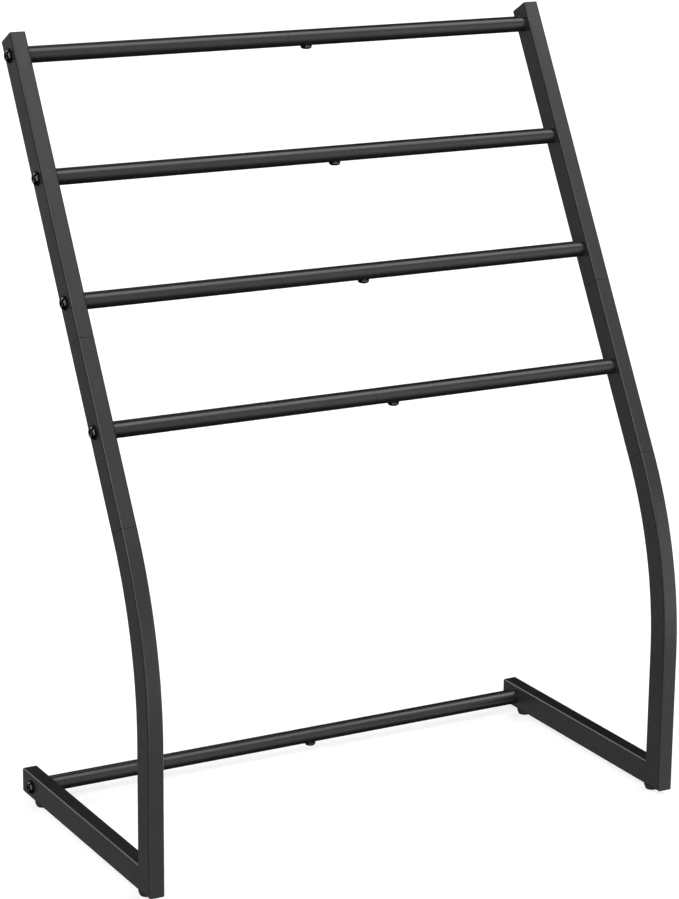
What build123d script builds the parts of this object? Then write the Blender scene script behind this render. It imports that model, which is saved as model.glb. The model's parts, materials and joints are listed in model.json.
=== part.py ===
"""Free-standing five-bar blanket and quilt rack in black powder-coated steel.

Two side frames of rectangular tube stand on a foot rail each, rise as a leg, bend
backward and lean. Four round bars join the leaning uprights and a fifth joins the
rear of the foot rails. Everything is bolted, and each side frame splits at two
sleeve joints, so the rack packs flat.

Millimetres, +X along the bars, +Y to the rear, +Z up. The origin is on the floor,
in the middle of the rack's width and depth.
"""

import os
from math import cos, degrees, radians, sin, sqrt

from build123d import *

# Overall
overall_width = 580.0  # between the outer faces of the two side frames
foot_length = 294.8  # from the front of the leg to the rear end of the foot rail
lean_angle = 29.6  # of the straight uprights, from vertical
bend_radius = 380.0  # of the tube's centreline
leg_height = 143.6  # vertical stretch, from the underside of the foot rail to the bend
straight_length = 483.4  # from the end of the bend to the top, plug included

# Side frame tube
tube_width = 16.0
tube_depth = 25.0
tube_wall = 1.2
tube_corner = 2.0
least_outer_corner = 0.6  # of a tube that slides inside another
least_inner_corner = 0.4
seam_gap = 0.2  # hairline left between two stacked tubes
edge_break = 0.15  # chamfer on the tubes' cut ends

# Round bars
bar_diameter = 16.0
bar_wall = 1.0
bar_seam_gap = 0.05
bar_edge_break = 0.1
bar_sleeve_length = 80.0
bar_sleeve_left_share = 0.45  # of the sleeve's length, inside the bar's left half
bar_screw_offset = 23.5  # from the middle of the bar to the screw that locks its two halves

# Distances down the upright's centreline, from its top
bar_drops = [18.7, 140.4, 261.8, 385.9]
upper_seam_drop = 299.4
lower_seam_drop = 480.2
leg_screw_drop = 458.9

# Rear bar and glides, from the front of the leg
rear_bar_setback = 272.3
glide_setbacks = {"front": 23.5, "rear": 264.0}

# Sleeve joints of the uprights
sleeve_clearance = 0.1
sleeve_wall = 1.2
upper_sleeve_reach = 60.0
lower_sleeve_reach = 40.0
sleeve_root = 38.0  # length fixed in the lower of the two tubes
sleeve_root_curved = 20.0

# Plastic end plugs
plug_flange = 1.5
plug_edge_break = 0.3
plug_body_length = 13.0
plug_body_wall = 1.6

# Fasteners, M6
thread_radius = 3.0
threaded_bore_radius = 3.05
clearance_radius = 3.2
thread_chamfer = 0.6
head_rim = 0.7
head_flat_radius = 3.1
hex_key = 4.0
hex_depth = 2.2
head_diameter = 11.5
head_height = 3.2
bolt_length = 30.0  # through the side frames into the bar ends
screw_length = 10.0  # under the bars and behind the legs
washer_diameter = 14.0
washer_thickness = 1.0
insert_clearance = 0.05
insert_length = 15.0
nut_corner_diameter = 9.8
nut_thickness = 4.0
plate_nut_size = (10.0, 12.0)

# Screw-in levelling glides
glide_height = 5.9  # from the floor to the underside of the foot rail
glide_top_radius = 7.8
glide_bottom_radius = 5.8
glide_edge = 1.2
glide_gap = 0.3  # between a glide and the flange above it when screwed right in
rivet_flange = 0.5
rivet_flange_radius = 5.5
rivet_radius = 4.45
rivet_hole_radius = 4.5
rivet_length = 10.0
stud_bore_radius = 3.0
stud_radius = 2.95
stud_rise = 12.0  # above the underside of the foot rail
stud_seat = 2.0  # plastic left under the stud

# Worked out from the sizes above
lean = radians(lean_angle)
overall_depth = (
    tube_depth / 2 * (1 + cos(lean)) + bend_radius * (1 - cos(lean)) + straight_length * sin(lean)
)
front_y = -overall_depth / 2
leg_y = front_y + tube_depth / 2
frame_x = (overall_width - tube_width) / 2
inner_x = overall_width / 2 - tube_width
bend_z = glide_height + leg_height
bend_top = Vector(0, leg_y + bend_radius * (1 - cos(lean)), bend_z + bend_radius * sin(lean))
up_lean = Vector(0, sin(lean), cos(lean))
rear_bar_y = front_y + rear_bar_setback
rear_bar_z = glide_height + tube_depth / 2
mitre = Plane(origin=(0, front_y, glide_height), x_dir=(1, 0, 0), z_dir=(0, -1, 1))

sides = {"left": -1, "right": 1}


def upright_point(drop, x=0.0):
    """Point on the upright's centreline, drop below its top, in the plane of x."""
    point = bend_top + up_lean * (straight_length - drop)
    return Vector(x, point.Y, point.Z)


def upright_plane(drop, x):
    """Plane across the upright: local Y points to its rear face, local Z up along it."""
    return Plane(origin=upright_point(drop, x), x_dir=(1, 0, 0), z_dir=up_lean)


def bar_places():
    """Centres of the five bars, top to bottom, as (y, z)."""
    places = [(upright_point(drop).Y, upright_point(drop).Z) for drop in bar_drops]
    return places + [(rear_bar_y, rear_bar_z)]


def save(part, name):
    part.part.label = name
    export_step(part.part, f"parts/{name}.step")


def tube_section(plane, inset=0.0, wall=tube_wall):
    """Hollow rounded rectangle, smaller than the frame tube by inset on every side."""
    width = tube_width - 2 * inset
    depth = tube_depth - 2 * inset
    corner = max(tube_corner - inset, least_outer_corner)
    with BuildSketch(plane) as section:
        RectangleRounded(width, depth, corner)
        inner_corner = max(corner - wall, least_inner_corner)
        RectangleRounded(width - 2 * wall, depth - 2 * wall, inner_corner, mode=Mode.SUBTRACT)
    return section.sketch


def drill(plane, radius, amount, both=False):
    """Round hole cut from a plane along its normal."""
    with BuildSketch(plane) as hole:
        Circle(radius)
    extrude(hole.sketch, amount=amount, both=both, mode=Mode.SUBTRACT)


def cross_holes(places, x, radius=clearance_radius):
    """Round holes through both side walls of a frame tube, at each (y, z)."""
    for y, z in places:
        drill(Plane(origin=(x, y, z), x_dir=(0, 1, 0), z_dir=(1, 0, 0)), radius, tube_width, both=True)


def break_end(part, direction):
    """Chamfer the outside edge of the tube's end face that points in a direction."""
    axis = Axis((0, 0, 0), direction)
    end = part.faces().filter_by(GeomType.PLANE).sort_by(axis)[-1]
    chamfer(end.outer_wire().edges(), edge_break)


def make_upright(top_drop, bottom_drop, hole_drops, x, screw_seat=None):
    """Straight stretch of frame tube with holes for the bar bolts and the seam's screw."""
    with BuildPart() as upright:
        extrude(tube_section(upright_plane(bottom_drop, x)), amount=bottom_drop - top_drop)
        places = [(upright_point(drop).Y, upright_point(drop).Z) for drop in hole_drops]
        cross_holes(places, x)
        if screw_seat is not None:
            drill(screw_seat, clearance_radius, -tube_depth / 2)
        break_end(upright, up_lean)
        break_end(upright, up_lean * -1)
    return upright


def leg_path(start_drop, end_angle, foot_z=None):
    """Centreline from a point on the straight upright into the bend, as (y, z) lines."""
    start = upright_point(start_drop)
    with BuildLine(Plane.YZ) as path:
        Line((start.Y, start.Z), (bend_top.Y, bend_top.Z))
        CenterArc((leg_y + bend_radius, bend_z), bend_radius, 180 - lean_angle, end_angle)
        if foot_z is not None:
            Line((leg_y, bend_z), (leg_y, foot_z))
    return path


def make_lower_leg(x):
    """Bent tube from the lower seam down to the mitred corner with the foot rail."""
    top_drop = lower_seam_drop + seam_gap / 2
    path = leg_path(top_drop, lean_angle, glide_height)
    route = Pos(x, 0, 0) * path.wire()
    with BuildPart() as leg:
        sweep(tube_section(upright_plane(top_drop, x)), path=route)
        split(bisect_by=mitre, keep=Keep.TOP)
        break_end(leg, up_lean)
    return leg


def make_foot_rail(x):
    """Foot rail, mitred to the leg, with holes for the rear bar's bolt and two glides."""
    centre_z = glide_height + tube_depth / 2
    with BuildPart() as rail:
        front = Plane(origin=(x, front_y, centre_z), x_dir=(1, 0, 0), z_dir=(0, 1, 0))
        extrude(tube_section(front), amount=foot_length - plug_flange)
        split(bisect_by=mitre, keep=Keep.BOTTOM)
        cross_holes([(rear_bar_y, rear_bar_z)], x)
        for setback in glide_setbacks.values():
            drill(Plane(origin=(x, front_y + setback, glide_height)), rivet_hole_radius, tube_depth / 2)
        break_end(rail, (0, 1, 0))
    return rail


def make_end_plug(plane):
    """Flush cap on a hollow body pushed into the tube; plane lies on the cap's outer face."""
    bore_width = tube_width - 2 * (tube_wall + sleeve_clearance)
    bore_depth = tube_depth - 2 * (tube_wall + sleeve_clearance)
    with BuildPart() as plug:
        with BuildSketch(plane):
            RectangleRounded(tube_width, tube_depth, tube_corner)
        extrude(amount=-plug_flange)
        cap = plug.faces().sort_by(Axis(plane.origin, plane.z_dir))[-1]
        chamfer(cap.outer_wire().edges(), plug_edge_break)
        with BuildSketch(plane.offset(-plug_flange)):
            RectangleRounded(bore_width, bore_depth, tube_corner - tube_wall)
            Rectangle(bore_width - 2 * plug_body_wall, bore_depth - 2 * plug_body_wall, mode=Mode.SUBTRACT)
        extrude(amount=-plug_body_length)
    return plug


def make_upper_sleeve(x):
    """Straight inner tube across the upper seam, drilled for the third bar's bolt."""
    inset = tube_wall + sleeve_clearance
    with BuildPart() as sleeve:
        section = tube_section(upright_plane(upper_seam_drop + sleeve_root, x), inset, sleeve_wall)
        extrude(section, amount=sleeve_root + upper_sleeve_reach)
        third_bar = upright_point(bar_drops[2])
        cross_holes([(third_bar.Y, third_bar.Z)], x)
    return sleeve


def make_lower_sleeve(x):
    """Inner tube across the lower seam, which follows the start of the bend."""
    inset = tube_wall + sleeve_clearance
    top_drop = lower_seam_drop - lower_sleeve_reach
    bend_share = degrees(sleeve_root_curved / bend_radius)
    path = leg_path(top_drop, bend_share)
    route = Pos(x, 0, 0) * path.wire()
    with BuildPart() as sleeve:
        sweep(tube_section(upright_plane(top_drop, x), inset, sleeve_wall), path=route)
        drill(leg_screw_plane(x), clearance_radius, -tube_depth / 2)
    return sleeve


def leg_screw_plane(x):
    """Seat of the screw that locks the lower seam: on the rear face, facing away from it."""
    across = upright_plane(leg_screw_drop, x)
    seat = across.origin + across.y_dir * (tube_depth / 2)
    return Plane(origin=seat, x_dir=(1, 0, 0), z_dir=across.y_dir)


def button_screw(seat, shank_length):
    """Button-head hex-socket screw, its head standing on the seat plane."""
    profile_plane = Plane(origin=seat.origin, x_dir=seat.x_dir, z_dir=seat.y_dir * -1)
    head_radius = head_diameter / 2
    with BuildSketch(profile_plane) as profile:
        with BuildLine():
            TangentArc((head_radius, head_rim), (head_flat_radius, head_height), tangent=(0, 1))
            Polyline(
                (head_flat_radius, head_height),
                (0, head_height),
                (0, -shank_length),
                (thread_radius - thread_chamfer, -shank_length),
                (thread_radius, -shank_length + thread_chamfer),
                (thread_radius, 0),
                (head_radius, 0),
                (head_radius, head_rim),
            )
        make_face()
    revolve(profile.sketch, axis=Axis(seat.origin, seat.z_dir))
    with BuildSketch(seat.offset(head_height)) as socket:
        RegularPolygon(hex_key / sqrt(3), 6)
    extrude(socket.sketch, amount=-hex_depth, mode=Mode.SUBTRACT)


def ring(plane, outer_radius, inner_radius, thickness):
    """Flat ring or short tube that rises from a plane."""
    with BuildSketch(plane) as section:
        Circle(outer_radius)
        Circle(inner_radius, mode=Mode.SUBTRACT)
    extrude(section.sketch, amount=thickness)


def side_plane(sign, x, y, z):
    """Plane at x whose normal points out of the rack on that side."""
    return Plane(origin=(x, y, z), x_dir=(0, 1, 0), z_dir=(sign, 0, 0))


def bar_screw_plane(y, z):
    """Seat of the screw under a bar, facing down."""
    return Plane(origin=(bar_screw_offset, y, z - bar_diameter / 2), x_dir=(1, 0, 0), z_dir=(0, 0, -1))


def make_bar_half(sign, y, z):
    """Half of a round bar, from its bolted end to the seam in the middle."""
    length = inner_x - bar_seam_gap / 2
    with BuildPart() as half:
        seam = side_plane(sign, sign * bar_seam_gap / 2, y, z)
        ring(seam, bar_diameter / 2, bar_diameter / 2 - bar_wall, length)
        if sign > 0:
            drill(bar_screw_plane(y, z), clearance_radius, -bar_diameter / 2)
        circles = half.edges().filter_by(GeomType.CIRCLE)
        rims = circles.filter_by(lambda edge: edge.radius > bar_diameter / 2 - bar_wall / 2)
        chamfer(rims, bar_edge_break)
    return half


def make_bar_sleeve(y, z):
    """Inner tube fixed in the bar's left half, which the right half slides over."""
    radius = bar_diameter / 2 - bar_wall - sleeve_clearance
    with BuildPart() as sleeve:
        left_end = side_plane(1, -bar_sleeve_length * bar_sleeve_left_share, y, z)
        ring(left_end, radius, radius - bar_wall, bar_sleeve_length)
        drill(bar_screw_plane(y, z), clearance_radius, -bar_diameter / 2)
    return sleeve


def make_bar_nut(y, z):
    """Nut welded inside a bar sleeve, its seat rounded to the sleeve's wall."""
    bore = bar_diameter / 2 - 2 * bar_wall - sleeve_clearance
    seat = Plane(origin=(bar_screw_offset, y, z - bore))
    with BuildPart() as nut:
        with BuildSketch(seat):
            RegularPolygon(nut_corner_diameter / 2, 6)
            Circle(threaded_bore_radius, mode=Mode.SUBTRACT)
        extrude(amount=nut_thickness)
        with BuildSketch(side_plane(1, bar_screw_offset, y, z)):
            Circle(bore)
        extrude(amount=nut_corner_diameter, both=True, mode=Mode.INTERSECT)
    return nut


def group(pieces):
    """Separate solids that share one node."""
    with BuildPart() as together:
        for piece in pieces:
            add(piece.part)
    return together


def make_glide_pad(x, y):
    """Tapered plastic foot, moulded around the lower end of its stud."""
    top = glide_height - rivet_flange - glide_gap
    with BuildPart() as pad:
        with BuildSketch(Plane(origin=(x, y, 0), x_dir=(1, 0, 0), z_dir=(0, -1, 0))):
            with BuildLine():
                side = Line((glide_top_radius, top), (glide_bottom_radius, 0))
                base = Line((glide_bottom_radius, 0), (0, 0))
                fillet(side.vertices() & base.vertices(), glide_edge)
                Polyline((0, 0), (0, top), (glide_top_radius, top))
            make_face()
        revolve(axis=Axis((x, y, 0), (0, 0, 1)))
        drill(Plane(origin=(x, y, stud_seat)), stud_radius, top)
    return pad


def make_glide_stud(x, y):
    """Threaded stud of a glide, drawn at its outer diameter."""
    with BuildPart() as stud:
        with BuildSketch(Plane(origin=(x, y, stud_seat))):
            Circle(stud_radius)
        extrude(amount=glide_height + stud_rise - stud_seat)
        chamfer(stud.edges().sort_by(Axis.Z)[-1], thread_chamfer)
    return stud


def make_rivet_nut(x, y):
    """Threaded insert in the underside of the foot rail."""
    with BuildPart() as nut:
        underside = Plane(origin=(x, y, glide_height))
        ring(underside, rivet_flange_radius, stud_bore_radius, -rivet_flange)
        ring(underside, rivet_radius, stud_bore_radius, rivet_length)
    return nut


def make_bolt(seat, length):
    with BuildPart() as bolt:
        button_screw(seat, length)
    return bolt


def make_ring(plane, outer_radius, inner_radius, thickness):
    with BuildPart() as piece:
        ring(plane, outer_radius, inner_radius, thickness)
    return piece


def make_plate_nut(x):
    """Threaded plate welded inside the lower sleeve, behind the leg screw."""
    seat = leg_screw_plane(x).offset(-(tube_wall + sleeve_clearance + sleeve_wall))
    with BuildPart() as nut:
        with BuildSketch(seat):
            Rectangle(*plate_nut_size)
            Circle(threaded_bore_radius, mode=Mode.SUBTRACT)
        extrude(amount=-nut_thickness)
    return nut


os.makedirs("parts", exist_ok=True)
bars = bar_places()

# Side frames
for side, sign in sides.items():
    x = sign * frame_x
    upper_end = upper_seam_drop - seam_gap / 2
    middle_start = upper_seam_drop + seam_gap / 2
    middle_end = lower_seam_drop - seam_gap / 2
    rail_end = Plane(origin=(x, front_y + foot_length, rear_bar_z), x_dir=(1, 0, 0), z_dir=(0, 1, 0))
    middle = make_upright(middle_start, middle_end, bar_drops[3:], x, leg_screw_plane(x))
    save(make_upright(plug_flange, upper_end, bar_drops[:3], x), f"{side}_upper_upright")
    save(middle, f"{side}_middle_upright")
    save(make_lower_leg(x), f"{side}_lower_leg")
    save(make_foot_rail(x), f"{side}_foot_rail")
    save(make_upper_sleeve(x), f"{side}_upper_sleeve")
    save(make_lower_sleeve(x), f"{side}_lower_sleeve")
    save(make_end_plug(upright_plane(0, x)), f"{side}_top_plug")
    save(make_end_plug(rail_end), f"{side}_rail_plug")

# Round bars, numbered from the top, and the sleeve inside each
for number, (y, z) in enumerate(bars, start=1):
    save(make_bar_half(-1, y, z), f"bar_{number}_left_half")
    save(make_bar_half(1, y, z), f"bar_{number}_right_half")
    save(make_bar_sleeve(y, z), f"bar_{number}_sleeve")

# Fasteners of the bars
for side, sign in sides.items():
    outer = sign * overall_width / 2
    bolts = []
    washers = []
    inserts = []
    for y, z in bars:
        face = side_plane(sign, outer, y, z)
        seat = face.offset(washer_thickness)
        bolts.append(make_bolt(seat, bolt_length))
        washers.append(make_ring(face, washer_diameter / 2, clearance_radius, washer_thickness))
        bar_end = side_plane(sign, sign * inner_x, y, z)
        insert_radius = bar_diameter / 2 - bar_wall - insert_clearance
        inserts.append(make_ring(bar_end, insert_radius, threaded_bore_radius, -insert_length))
    save(group(bolts), f"{side}_bar_bolts")
    save(group(washers), f"{side}_bolt_washers")
    save(group(inserts), f"{side}_bar_inserts")
bar_seats = [bar_screw_plane(y, z) for y, z in bars]
bar_screws = [make_bolt(seat, screw_length) for seat in bar_seats]
save(group(bar_screws), "bar_screws")
save(group([make_bar_nut(y, z) for y, z in bars]), "bar_nuts")

# Screws of the lower seams
leg_seats = [leg_screw_plane(sign * frame_x) for sign in sides.values()]
leg_screws = [make_bolt(seat, screw_length) for seat in leg_seats]
save(group(leg_screws), "leg_screws")
save(group([make_plate_nut(sign * frame_x) for sign in sides.values()]), "leg_nuts")

# Levelling glides
rivet_nuts = []
for side, sign in sides.items():
    for end, setback in glide_setbacks.items():
        x = sign * frame_x
        y = front_y + setback
        save(make_glide_pad(x, y), f"{side}_{end}_glide_pad")
        save(make_glide_stud(x, y), f"{side}_{end}_glide_stud")
        rivet_nuts.append(make_rivet_nut(x, y))
save(group(rivet_nuts), "glide_rivet_nuts")
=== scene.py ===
import json
from math import cos, pi, radians, sin, sqrt

import bpy
from mathutils import Euler, Matrix, Vector


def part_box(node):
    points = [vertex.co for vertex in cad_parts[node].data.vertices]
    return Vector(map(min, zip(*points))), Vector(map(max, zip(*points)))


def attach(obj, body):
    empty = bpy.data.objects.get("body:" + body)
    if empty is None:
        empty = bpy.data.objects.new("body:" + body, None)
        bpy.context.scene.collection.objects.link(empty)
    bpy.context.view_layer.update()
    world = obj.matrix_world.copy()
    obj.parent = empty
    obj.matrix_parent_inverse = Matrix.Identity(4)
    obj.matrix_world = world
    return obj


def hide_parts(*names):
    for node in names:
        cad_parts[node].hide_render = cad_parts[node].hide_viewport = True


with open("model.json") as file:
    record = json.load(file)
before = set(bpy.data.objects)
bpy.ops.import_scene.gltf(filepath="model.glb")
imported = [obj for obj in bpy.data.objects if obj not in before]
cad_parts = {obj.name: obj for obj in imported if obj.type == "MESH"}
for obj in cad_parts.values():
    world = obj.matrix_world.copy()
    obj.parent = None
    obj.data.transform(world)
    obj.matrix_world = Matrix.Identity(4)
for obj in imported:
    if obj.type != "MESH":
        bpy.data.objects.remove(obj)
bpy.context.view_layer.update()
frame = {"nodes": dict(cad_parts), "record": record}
print("frame loaded:", len(frame["nodes"]), "nodes")


# the studio: pale floor, white backdrop, wide soft lamps all round
studio = {
    "floorSize": 60.0,
    "floorColour": 0.5,
    "floorRoughness": 0.9,
    "floorShine": 0.0,
    "floorGlow": 0.62,  # keeps the shadows on the floor faint
    "backdrop": 1.0,
    "surroundings": 0.0,  # what the steel mirrors where there is no lamp
    "lampSpread": 36,  # degrees that a lamp's disc fills, as a wide softbox would
    "lampDistance": 3,
}

# lamp: degrees round from straight ahead (minus is left), degrees up, strength
lamps = {
    "highRight": (60, 58, 1.17),
    "highFront": (0, 58, 0.2),
    "cameraSide": (-47, 30, 1.4),
    "left": (-80, 8, 2.85),
    "rearLeft": (-150, 34, 0.95),
    "front": (0, 3, 0.66),
    "frontRight": (45, 3, 0.55),
    "frontRightHigh": (30, 34, 0.25),
    "right": (90, 0, 7.0),
    "rearRight": (130, -12, 0.4),
    "rearHigh": (170, 50, 0.3),
    "rear": (-160, 5, 0.045),
    "floorBounceLeft": (-70, -18, 1.85),  # light that a pale floor sends back up
    "floorBounceFront": (-30, -18, 0.42),
    "floorBounceMiddle": (10, -18, 0.15),
    "floorBounceRight": (45, -20, 0.24),
    "floorBounceRear": (-150, -18, 0.06),
    "floorBounceRearLeft": (-125, -20, 0.045),
}

# mirrored in the bars, these would bleach them seen end on
matteLamps = ["left", "right", "floorBounceLeft"]

camera = {
    "place": (-1.3423, -2.4022, 1.1231),
    "turn": 29.02,  # degrees to the right of straight ahead
    "tilt": 15.535,  # degrees down
    "roll": 0.60,
    "lens": 117.55,
}


def compass(around, up):
    around, up = radians(around), radians(up)
    return Vector((sin(around) * cos(up), -cos(around) * cos(up), sin(up)))


def makeFloor():
    bpy.ops.mesh.primitive_plane_add(size=studio["floorSize"])
    floor = bpy.context.object
    floor.name = "floor"
    mat = bpy.data.materials.new("paleFloor")
    mat.use_nodes = True
    surface = mat.node_tree.nodes["Principled BSDF"]
    surface.inputs["Base Color"].default_value = (studio["floorColour"],) * 3 + (1,)
    surface.inputs["Roughness"].default_value = studio["floorRoughness"]
    surface.inputs["Specular IOR Level"].default_value = studio["floorShine"]
    surface.inputs["Emission Color"].default_value = (1, 1, 1, 1)
    surface.inputs["Emission Strength"].default_value = studio["floorGlow"]
    floor.data.materials.append(mat)
    # the bounce lamps stand for the light it would send back
    floor.visible_diffuse = False
    floor.visible_glossy = False
    floor.visible_shadow = False


def makeBackdrop():
    world = bpy.data.worlds.new("studioAir")
    bpy.context.scene.world = world
    world.use_nodes = True
    nodes, links = world.node_tree.nodes, world.node_tree.links
    path = nodes.new("ShaderNodeLightPath")
    level = nodes.new("ShaderNodeMapRange")
    level.inputs["To Min"].default_value = studio["surroundings"]
    level.inputs["To Max"].default_value = studio["backdrop"]
    links.new(path.outputs["Is Camera Ray"], level.inputs["Value"])
    links.new(level.outputs[0], nodes["Background"].inputs["Strength"])
    nodes["Background"].inputs["Color"].default_value = (1, 1, 1, 1)


def makeLamps():
    for name, (around, up, strength) in lamps.items():
        place = compass(around, up) * studio["lampDistance"]
        facing = (-place).to_track_quat("-Z", "Y").to_euler()
        bpy.ops.object.light_add(type="SUN", location=place, rotation=facing)
        lamp = bpy.context.object
        lamp.name = name
        lamp.data.angle = radians(studio["lampSpread"])
        lamp.data.energy = strength
        lamp.visible_glossy = name not in matteLamps


def makeCamera():
    level = Euler((radians(90 - camera["tilt"]), 0, radians(-camera["turn"]))).to_matrix()
    rolled = level @ Matrix.Rotation(radians(camera["roll"]), 3, "Z")
    bpy.ops.object.camera_add(location=camera["place"], rotation=rolled.to_euler())
    bpy.context.object.data.lens = camera["lens"]
    bpy.context.scene.camera = bpy.context.object


makeFloor()
makeBackdrop()
makeLamps()
makeCamera()
bpy.context.scene.view_settings.view_transform = "Standard"
print("studio ready")


# the finishes, one for each material slot of the record
powderCoat = {
    "thin": (0.0065, 0.0065, 0.0068),
    "full": (0.0105, 0.0105, 0.0108),
    "glossy": 0.26,
    "dull": 0.34,
    "pimple": 0.0005,  # size of the coat's grains
    "pimpleHeight": 0.00002,
    "ripple": 0.0026,  # the softer unevenness under them
    "rippleHeight": 0.00002,
    "drift": 0.05,  # slow change along a tube
}

blackNickel = {
    "clear": (0.105, 0.105, 0.11),
    "smoky": (0.07, 0.07, 0.074),
    "polished": 0.07,
    "hazed": 0.16,
    "cloud": 0.0025,
    "scratch": 0.00025,
    "scratchHeight": 0.000003,
}

# washer finish: near black and hardly mirroring any light, partly the washers' own blackening and
# partly painted shade for the shadow beside the bolt heads
washerBlackAndPaintedShade = {
    "dark": (0.0015, 0.0015, 0.0016),
    "worn": (0.004, 0.004, 0.004),
    "glossy": 0.45,
    "dull": 0.65,
    "sheen": 0.03,  # how much of the light it mirrors at all
    "patch": 0.003,
    "grit": 0.0003,
    "gritHeight": 0.00001,
}

brightZinc = {
    "clear": (0.62, 0.64, 0.67),
    "passivated": (0.67, 0.63, 0.53),
    "polished": 0.22,
    "hazed": 0.42,
    "bloom": 0.005,
    "drawn": 0.0003,
    "drawnHeight": 0.000006,
}

mouldedBlack = {
    "colour": (0.012, 0.012, 0.012),
    "glossy": 0.40,
    "dull": 0.55,
    "spark": 0.00035,  # grain left by the mould
    "sparkHeight": 0.00002,
    "flow": 0.004,
}


noiseReach = (0.3, 0.7)  # nearly all of a noise lies between these


def newFinish(name):
    mat = bpy.data.materials.new(name)
    mat.use_nodes = True
    return mat, mat.node_tree.nodes["Principled BSDF"]


def addGrain(mat, size, detail=2.0, stretch=(1, 1, 1)):
    nodes, links = mat.node_tree.nodes, mat.node_tree.links
    place = nodes.new("ShaderNodeTexCoord")
    pull = nodes.new("ShaderNodeMapping")
    grain = nodes.new("ShaderNodeTexNoise")
    pull.inputs["Scale"].default_value = stretch
    grain.inputs["Scale"].default_value = 1 / size
    grain.inputs["Detail"].default_value = detail
    links.new(place.outputs["Object"], pull.inputs["Vector"])
    links.new(pull.outputs[0], grain.inputs["Vector"])
    return grain.outputs["Fac"]


def spreadOver(mat, grain, socket, low, high):
    reach = mat.node_tree.nodes.new("ShaderNodeMapRange")
    reach.inputs["From Min"].default_value = noiseReach[0]
    reach.inputs["From Max"].default_value = noiseReach[1]
    reach.inputs["To Min"].default_value = low
    reach.inputs["To Max"].default_value = high
    mat.node_tree.links.new(grain, reach.inputs["Value"])
    mat.node_tree.links.new(reach.outputs[0], socket)


def blendColours(mat, grain, socket, low, high):
    mix = mat.node_tree.nodes.new("ShaderNodeMix")
    mix.data_type = "RGBA"
    mix.inputs["A"].default_value = low + (1,)
    mix.inputs["B"].default_value = high + (1,)
    spreadOver(mat, grain, mix.inputs["Factor"], 0, 1)
    mat.node_tree.links.new(mix.outputs["Result"], socket)


def raiseGrain(mat, surface, grain, height, under=None):
    bump = mat.node_tree.nodes.new("ShaderNodeBump")
    bump.inputs["Distance"].default_value = height
    mat.node_tree.links.new(grain, bump.inputs["Height"])
    if under:
        mat.node_tree.links.new(under.outputs[0], bump.inputs["Normal"])
    mat.node_tree.links.new(bump.outputs[0], surface.inputs["Normal"])
    return bump


def makePowderCoat():
    mat, surface = newFinish("powderCoat")
    ripple = addGrain(mat, powderCoat["ripple"])
    pimples = addGrain(mat, powderCoat["pimple"], 3.0)
    drift = addGrain(mat, powderCoat["drift"], 4.0)
    colour, roughness = surface.inputs["Base Color"], surface.inputs["Roughness"]
    spreadOver(mat, drift, roughness, powderCoat["glossy"], powderCoat["dull"])
    blendColours(mat, ripple, colour, powderCoat["thin"], powderCoat["full"])
    low = raiseGrain(mat, surface, ripple, powderCoat["rippleHeight"])
    raiseGrain(mat, surface, pimples, powderCoat["pimpleHeight"], low)
    return mat


def makeBlackNickel():
    mat, surface = newFinish("blackNickel")
    surface.inputs["Metallic"].default_value = 1.0
    cloud = addGrain(mat, blackNickel["cloud"], 4.0)
    scratch = addGrain(mat, blackNickel["scratch"], 1.0, (1, 1, 6))
    colour, roughness = surface.inputs["Base Color"], surface.inputs["Roughness"]
    blendColours(mat, cloud, colour, blackNickel["clear"], blackNickel["smoky"])
    spreadOver(mat, cloud, roughness, blackNickel["polished"], blackNickel["hazed"])
    raiseGrain(mat, surface, scratch, blackNickel["scratchHeight"])
    return mat


# the washers' own black, darkened and dulled further as painted shade round the bolt heads
def makeWasherBlackAndPaintedShade():
    mat, surface = newFinish("washerBlackAndPaintedShade")
    surface.inputs["Specular IOR Level"].default_value = washerBlackAndPaintedShade["sheen"]
    patch = addGrain(mat, washerBlackAndPaintedShade["patch"], 4.0)
    grit = addGrain(mat, washerBlackAndPaintedShade["grit"])
    colour, roughness = surface.inputs["Base Color"], surface.inputs["Roughness"]
    blendColours(mat, patch, colour, washerBlackAndPaintedShade["dark"], washerBlackAndPaintedShade["worn"])
    spreadOver(mat, patch, roughness, washerBlackAndPaintedShade["glossy"], washerBlackAndPaintedShade["dull"])
    raiseGrain(mat, surface, grit, washerBlackAndPaintedShade["gritHeight"])
    return mat


def makeBrightZinc():
    mat, surface = newFinish("brightZinc")
    surface.inputs["Metallic"].default_value = 1.0
    bloom = addGrain(mat, brightZinc["bloom"], 5.0)
    drawn = addGrain(mat, brightZinc["drawn"], 2.0, (0.1, 1, 1))
    colour, roughness = surface.inputs["Base Color"], surface.inputs["Roughness"]
    blendColours(mat, bloom, colour, brightZinc["clear"], brightZinc["passivated"])
    spreadOver(mat, bloom, roughness, brightZinc["polished"], brightZinc["hazed"])
    raiseGrain(mat, surface, drawn, brightZinc["drawnHeight"])
    return mat


def makeMouldedBlack():
    mat, surface = newFinish("mouldedBlack")
    surface.inputs["Base Color"].default_value = mouldedBlack["colour"] + (1,)
    flow = addGrain(mat, mouldedBlack["flow"], 3.0)
    spark = addGrain(mat, mouldedBlack["spark"], 2.0)
    roughness = surface.inputs["Roughness"]
    spreadOver(mat, flow, roughness, mouldedBlack["glossy"], mouldedBlack["dull"])
    raiseGrain(mat, surface, spark, mouldedBlack["sparkHeight"])
    return mat


finishes = {
    "powder_coat": makePowderCoat(),
    "black_hardware": makeBlackNickel(),
    "zinc_steel": makeBrightZinc(),
    "black_plastic": makeMouldedBlack(),
}
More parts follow.
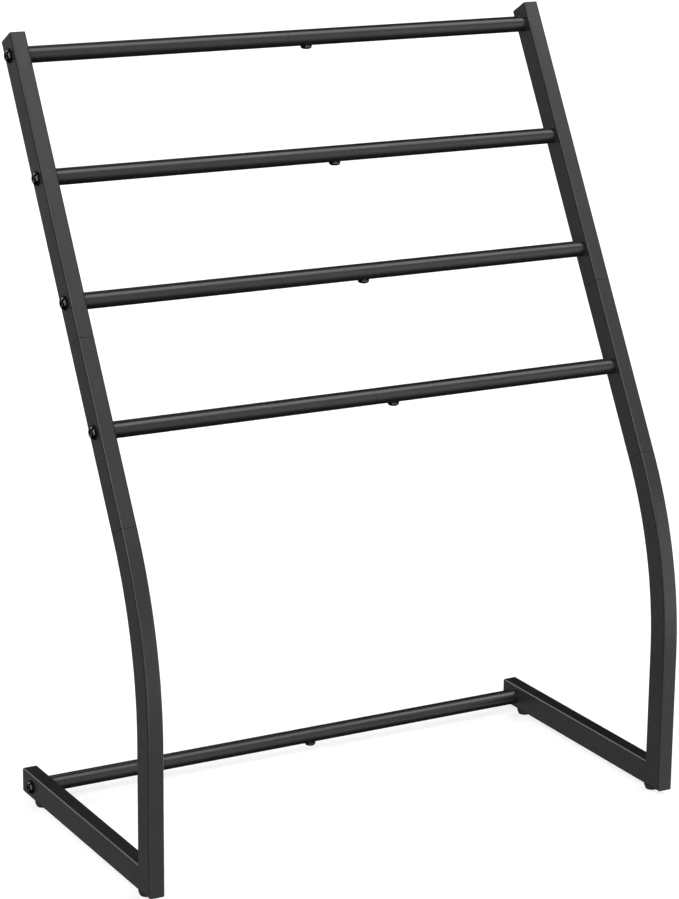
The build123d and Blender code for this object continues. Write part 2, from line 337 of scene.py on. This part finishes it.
# washer finish: its own black plus painted shade beside the bolt heads
washerBlackAndShadeFinish = makeWasherBlackAndPaintedShade()
record = frame["record"]
slotOf = {part["node"]: part["material_slot"] for part in record["subparts"]}
bodyOf = {node: body for body, nodes in record["behaviour"]["bodies"].items() for node in nodes}
sides = (("left", -1), ("right", 1))  # each with the way that it faces along X
barNumbers = range(1, 6)


def paintFrame():
    for name, node in frame["nodes"].items():
        node.data.materials.clear()
        node.data.materials.append(finishes[slotOf[name]])


paintFrame()
print("finishes ready")


# the workshop: what the small pieces below are made with
workshop = {
    "weld": 0.000001,  # points closer than this become one
    "nearly": 0.00001,  # play when faces and edges are found by their place
    "smoothUnder": 35,  # degrees between faces that are shaded as one
    "latheSteps": 48,
    "windSteps": 24,  # per turn of a thread
}


def leaveEditing():
    if bpy.context.mode != "OBJECT":
        bpy.ops.object.mode_set(mode="OBJECT")
    bpy.ops.object.select_all(action="DESELECT")


def pick(piece):
    leaveEditing()
    piece.select_set(True)
    bpy.context.view_layer.objects.active = piece


def walkOutline(name, outline):
    # a small plane shrunk to one point, then walked along a section of (radius, height)
    leaveEditing()
    bpy.ops.mesh.primitive_plane_add(size=0.001)
    piece = bpy.context.object
    piece.name = name
    bpy.ops.object.mode_set(mode="EDIT")
    bpy.ops.mesh.select_mode(type="VERT")
    bpy.ops.mesh.select_all(action="SELECT")
    bpy.ops.mesh.merge(type="CENTER")
    here = outline[0]
    bpy.ops.transform.translate(value=(here[0], 0, here[1]))
    for there in outline[1:]:
        step = (there[0] - here[0], 0, there[1] - here[1])
        bpy.ops.mesh.extrude_region_move(TRANSFORM_OT_translate={"value": step})
        here = there
    bpy.ops.mesh.select_all(action="SELECT")
    return piece


def closeUp():
    bpy.ops.mesh.select_all(action="SELECT")
    bpy.ops.mesh.remove_doubles(threshold=workshop["weld"])
    bpy.ops.mesh.normals_make_consistent(inside=False)
    bpy.ops.object.mode_set(mode="OBJECT")


def turnOnLathe(name, outline, steps=workshop["latheSteps"]):
    piece = walkOutline(name, outline)
    bpy.ops.mesh.spin(steps=steps, angle=2 * pi, center=(0, 0, 0), axis=(0, 0, 1))
    closeUp()
    return piece


def corner(centre, width, height, start, end, steps=6):
    # rounded stretch of a section, from one angle to another
    angles = [radians(start + (end - start) * step / steps) for step in range(steps + 1)]
    across, up = centre
    return [(across + width * cos(angle), up + height * sin(angle)) for angle in angles]


# the rib's section, as shares of the thread's depth and pitch
thread = {
    "sunk": 1.2,  # its foot lies a little inside the core
    "crest": 0.48,
    "width": 0.96,
}


def windThread(radius, depth, pitch, turns):
    foot = radius - thread["sunk"] * depth
    crest, end = thread["crest"] * pitch, thread["width"] * pitch
    rib = walkOutline("rib", [(foot, 0), (radius, crest), (foot, end), (foot, 0)])
    bpy.ops.mesh.remove_doubles(threshold=workshop["weld"])
    bpy.ops.object.mode_set(mode="OBJECT")
    bpy.ops.object.modifier_add(type="SCREW")
    winding = rib.modifiers["Screw"]
    winding.screw_offset = pitch
    winding.iterations = turns
    winding.steps = workshop["windSteps"]
    winding.render_steps = workshop["windSteps"]
    bpy.ops.object.modifier_apply(modifier="Screw")
    bpy.ops.object.mode_set(mode="EDIT")
    bpy.ops.mesh.select_all(action="SELECT")
    bpy.ops.mesh.fill_holes(sides=3)
    bpy.ops.mesh.normals_make_consistent(inside=False)
    bpy.ops.object.mode_set(mode="OBJECT")
    return rib


def joinUp(name, pieces):
    leaveEditing()
    for piece in pieces:
        piece.select_set(True)
    bpy.context.view_layer.objects.active = pieces[0]
    bpy.ops.object.join()
    bpy.context.object.name = name
    return bpy.context.object


def copyTo(master, place, facing, twist=0.0):
    # the copy's own upright axis points along facing
    pick(master)
    bpy.ops.object.duplicate()
    piece = bpy.context.object
    aimed = Vector(facing).to_track_quat("Z", "Y").to_matrix()
    turned = aimed @ Matrix.Rotation(radians(twist), 3, "Z")
    piece.matrix_world = Matrix.Translation(place) @ turned.to_4x4()
    bpy.ops.object.transform_apply()
    return piece


def finishPiece(piece, node, finish=None):
    pick(piece)
    bpy.ops.object.shade_smooth_by_angle(angle=radians(workshop["smoothUnder"]))
    piece.data.materials.clear()
    piece.data.materials.append(finish or finishes[slotOf[node]])
    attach(piece, bodyOf[node])
    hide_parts(node)


def discard(master):
    pick(master)
    bpy.ops.object.delete()


def middleOf(node):
    low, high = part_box(node)
    return (low + high) / 2


# button-head screws with a hexagon socket
barBolt = {
    "headRadius": 0.00575,
    "headHeight": 0.0032,
    "rim": 0.0007,
    "edge": 0.00025,  # rounding under the rim
    "flat": 0.0031,  # radius of the flat round the socket
    "key": 0.004,
    "socketDepth": 0.0022,
    "drillPoint": 0.0006,
    "mouthDepth": 0.0003,
    "mouthWidth": 1.16,  # how much wider the socket opens at its mouth
    "threadRadius": 0.003,
    "threadDepth": 0.0006,
    "pitch": 0.001,
    "plain": 0.0015,  # shank without thread, below the head
    "runIn": 1.2,  # where the core begins, in lengths of the plain shank
    "tip": 0.0006,  # chamfer at the end
    "ribStart": 0.0004,
    "length": 0.030,
    "twist": 23,  # degrees that each one is turned from the last
}
lockScrew = barBolt | {"length": 0.010}


def makeSocketCutter(size):
    floor = size["headHeight"] - size["socketDepth"]
    mouth = size["mouthDepth"]
    leaveEditing()
    bpy.ops.mesh.primitive_circle_add(vertices=6, radius=size["key"] / sqrt(3), fill_type="NGON")
    cutter = bpy.context.object
    bpy.ops.object.mode_set(mode="EDIT")
    bpy.ops.mesh.select_mode(type="FACE")
    bpy.ops.mesh.select_all(action="SELECT")
    bpy.ops.transform.translate(value=(0, 0, floor))
    rise = size["socketDepth"] - mouth
    bpy.ops.mesh.extrude_region_move(TRANSFORM_OT_translate={"value": (0, 0, rise)})
    bpy.ops.mesh.extrude_region_move(TRANSFORM_OT_translate={"value": (0, 0, 2 * mouth)})
    wider = 2 * size["mouthWidth"] - 1
    bpy.ops.transform.resize(value=(wider, wider, 1))
    bpy.ops.mesh.select_all(action="DESELECT")
    bpy.ops.object.mode_set(mode="OBJECT")
    for face in cutter.data.polygons:
        face.select = face.center.z < floor + workshop["nearly"]
    bpy.ops.object.mode_set(mode="EDIT")
    bpy.ops.mesh.poke(offset=-size["drillPoint"])
    closeUp()
    return cutter


def makeScrew(size):
    head, shank, edge = size["headRadius"], size["threadRadius"], size["edge"]
    tip, length = size["tip"], size["length"]
    core = shank - size["threadDepth"]
    rise = size["headHeight"] - size["rim"]
    outline = (
        [(0, size["headHeight"])]
        + corner((size["flat"], size["rim"]), head - size["flat"], rise, 90, 0, 10)
        + corner((head - edge, edge), edge, edge, 0, -90, 3)
        + [(shank, 0), (shank, -size["plain"]), (core, -size["runIn"] * size["plain"])]
        + [(core, tip - length), (core - tip, -length), (0, -length)]
    )
    screw = turnOnLathe("screw", outline)
    cutter = makeSocketCutter(size)
    pick(screw)
    bpy.ops.object.modifier_add(type="BOOLEAN")
    screw.modifiers["Boolean"].object = cutter
    screw.modifiers["Boolean"].operation = "DIFFERENCE"
    bpy.ops.object.modifier_apply(modifier="Boolean")
    discard(cutter)
    turns = int((length - size["plain"]) / size["pitch"]) - 1
    rib = windThread(shank, size["threadDepth"], size["pitch"], turns)
    rib.location.z = size["ribStart"] - length
    return joinUp("screw", [screw, rib])


def makeBarBolts():
    master = makeScrew(barBolt)
    for side, sign in sides:
        node = side + "_bar_bolts"
        low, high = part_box(node)
        seat = (low.x if sign < 0 else high.x) - sign * barBolt["headHeight"]
        bolts = []
        for bar in barNumbers:
            centre = middleOf(f"bar_{bar}_{side}_half")
            twist = barBolt["twist"] * bar * sign
            bolts.append(copyTo(master, (seat, centre.y, centre.z), (sign, 0, 0), twist))
        finishPiece(joinUp(side + "BarBolts", bolts), node)
    discard(master)


# the screw behind each leg, across its lower seam's sleeve
legJoint = {
    "lean": 29.6,  # degrees that the upright leans back
    "belowMiddle": 0.0691,  # of the middle upright, down to its screw
    "halfDepth": 0.0125,
}


def makeLockScrews():
    master = makeScrew(lockScrew)
    across = middleOf("bar_screws").x
    screws = []
    for bar in barNumbers:
        low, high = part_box(f"bar_{bar}_right_half")
        place = (across, (low.y + high.y) / 2, low.z)
        screws.append(copyTo(master, place, (0, 0, -1), lockScrew["twist"] * bar))
    finishPiece(joinUp("barLockScrews", screws), "bar_screws")
    lean = radians(legJoint["lean"])
    rearward = Vector((0, cos(lean), -sin(lean)))
    downward = Vector((0, -sin(lean), -cos(lean)))
    screws = []
    for number, side in enumerate(("left", "right")):
        middle = middleOf(side + "_middle_upright")
        place = middle + downward * legJoint["belowMiddle"] + rearward * legJoint["halfDepth"]
        screws.append(copyTo(master, place, rearward, lockScrew["twist"] * number))
    finishPiece(joinUp("legLockScrews", screws), "leg_screws")
    discard(master)


makeBarBolts()
makeLockScrews()
print("screws ready")


# washers under the bolt heads
washer = {
    "radius": 0.007,
    "hole": 0.0032,
    "thickness": 0.001,
    "rollOver": 0.0003,  # rounding of the stamped edge
    "burr": 0.0001,
}


def makeWashers():
    roll, burr, thick = washer["rollOver"], washer["burr"], washer["thickness"]
    outer, inner = washer["radius"], washer["hole"]
    outline = (
        [(inner, burr), (inner + burr, 0), (outer - burr, 0), (outer, burr)]
        + corner((outer - roll, thick - roll), roll, roll, 0, 90, 4)
        + corner((inner + roll, thick - roll), roll, roll, 90, 180, 4)
        + [(inner, burr)]
    )
    master = turnOnLathe("washer", outline)
    for side, sign in sides:
        node = side + "_bolt_washers"
        low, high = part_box(node)
        face = high.x if sign < 0 else low.x
        rings = []
        for bar in barNumbers:
            centre = middleOf(f"bar_{bar}_{side}_half")
            rings.append(copyTo(master, (face, centre.y, centre.z), (sign, 0, 0)))
        # the washers carry painted shade beside the bolt heads
        finishPiece(joinUp(side + "BoltWashers", rings), node, finish=washerBlackAndShadeFinish)
    discard(master)


makeWashers()
print("washers ready")


# levelling glides: a moulded foot on a threaded stud
glide = {
    "baseRadius": 0.0058,
    "baseEdge": 0.0012,
    "shoulder": 0.0005,
    "draft": 23,  # degrees that the side opens upward
    "ejectorRadius": 0.0021,
    "ejectorDepth": 0.00015,
    "socketDepth": 0.0027,  # plastic round the stud
    "lip": 0.0003,
    "threadDepth": 0.0006,
    "pitch": 0.001,
    "tip": 0.0006,
    "ribStart": 0.0004,
    "studSteps": 32,
}


def settle(master, node, height):
    # a copy stands upright at the node's middle, and the one it came from goes
    middle = middleOf(node)
    placed = copyTo(master, (middle.x, middle.y, height), (0, 0, 1))
    discard(master)
    placed.name = node.title().replace("_", "")
    finishPiece(placed, node)


def makeGlidePad(node):
    low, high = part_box(node)
    top = high.z
    widest = (high.x - low.x) / 2
    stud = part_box(node.replace("pad", "stud"))
    bore = (stud[1].x - stud[0].x) / 2
    slope = glide["draft"]
    edge, shoulder = glide["baseEdge"], glide["shoulder"]
    ejector, dent = glide["ejectorRadius"], glide["ejectorDepth"]
    # how far each rounding's centre lies inside the slanted side
    baseRun = edge * (1 - sin(radians(slope))) / cos(radians(slope))
    topRun = shoulder * (1 + sin(radians(slope))) / cos(radians(slope))
    outline = (
        [(0, dent), (ejector, dent), (ejector + dent, 0)]
        + corner((glide["baseRadius"] - baseRun, edge), edge, edge, -90, -slope)
        + corner((widest - topRun, top - shoulder), shoulder, shoulder, -slope, 90)
        + [(bore + glide["lip"], top), (bore, top - glide["lip"])]
        + [(bore, top - glide["socketDepth"]), (0, top - glide["socketDepth"])]
    )
    settle(turnOnLathe("pad", outline), node, 0)


def makeGlideStud(node):
    low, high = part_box(node)
    radius = (high.x - low.x) / 2
    length = high.z - low.z
    core, tip = radius - glide["threadDepth"], glide["tip"]
    outline = [(0, 0), (core, 0), (core, length - tip), (core - tip, length), (0, length)]
    shank = turnOnLathe("shank", outline, glide["studSteps"])
    turns = int(length / glide["pitch"]) - 2
    rib = windThread(radius, glide["threadDepth"], glide["pitch"], turns)
    rib.location.z = glide["ribStart"]
    settle(joinUp("stud", [shank, rib]), node, low.z)


for side in ("left", "right"):
    for end in ("front", "rear"):
        makeGlidePad(f"{side}_{end}_glide_pad")
        makeGlideStud(f"{side}_{end}_glide_stud")
print("glides ready")


# moulded caps in the open tube ends
endPlug = {
    "width": 0.016,
    "depth": 0.025,
    "flange": 0.0015,
    "corner": 0.002,
    "cornerSteps": 6,
    "rimRadius": 0.0006,
    "rimSteps": 4,
    "bodyInset": 0.0013,
    "bodyLength": 0.013,
    "bodyWall": 0.0016,
    "aboveMiddle": 0.1504,  # of the upper upright, up to its plug's face
}


def pickFaces(piece, wanted):
    bpy.ops.mesh.select_all(action="DESELECT")
    bpy.ops.object.mode_set(mode="OBJECT")
    for face in piece.data.polygons:
        face.select = wanted(face)
    bpy.ops.object.mode_set(mode="EDIT")


def pickEdges(piece, wanted):
    bpy.ops.mesh.select_all(action="DESELECT")
    bpy.ops.object.mode_set(mode="OBJECT")
    points = piece.data.vertices
    for edge in piece.data.edges:
        edge.select = wanted(*(points[index].co for index in edge.vertices))
    bpy.ops.object.mode_set(mode="EDIT")


def makePlugMaster():
    size = endPlug
    leaveEditing()
    bpy.ops.mesh.primitive_cube_add(size=1)
    plug = bpy.context.object
    bpy.ops.object.mode_set(mode="EDIT")
    bpy.ops.mesh.select_mode(type="EDGE")
    bpy.ops.mesh.select_all(action="SELECT")
    bpy.ops.transform.resize(value=(size["width"], size["depth"], size["flange"]))
    bpy.ops.transform.translate(value=(0, 0, -size["flange"] / 2))
    pickEdges(plug, lambda a, b: abs(a.z - b.z) > size["flange"] / 2)
    bpy.ops.mesh.bevel(offset=size["corner"], segments=size["cornerSteps"])
    pickEdges(plug, lambda a, b: min(a.z, b.z) > -workshop["nearly"])
    bpy.ops.mesh.bevel(offset=size["rimRadius"], segments=size["rimSteps"])
    bpy.ops.mesh.select_mode(type="FACE")
    pickFaces(plug, lambda face: face.normal.z < -0.9)  # the flange's underside
    bpy.ops.mesh.inset(thickness=size["bodyInset"])
    bpy.ops.mesh.extrude_region_move(TRANSFORM_OT_translate={"value": (0, 0, -size["bodyLength"])})
    bpy.ops.mesh.inset(thickness=size["bodyWall"])
    bpy.ops.mesh.extrude_region_move(TRANSFORM_OT_translate={"value": (0, 0, size["bodyLength"])})
    closeUp()
    return plug


def makePlugs():
    master = makePlugMaster()
    lean = radians(legJoint["lean"])
    upward = Vector((0, sin(lean), cos(lean)))
    for side in ("left", "right"):
        top = middleOf(side + "_upper_upright") + upward * endPlug["aboveMiddle"]
        cap = copyTo(master, top, upward)
        cap.name = side + "TopPlug"
        finishPiece(cap, side + "_top_plug")
        middle, high = middleOf(side + "_rail_plug"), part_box(side + "_rail_plug")[1]
        cap = copyTo(master, (middle.x, high.y, middle.z), (0, 1, 0))
        cap.name = side + "RailPlug"
        finishPiece(cap, side + "_rail_plug")
    discard(master)


makePlugs()
print("plugs ready")
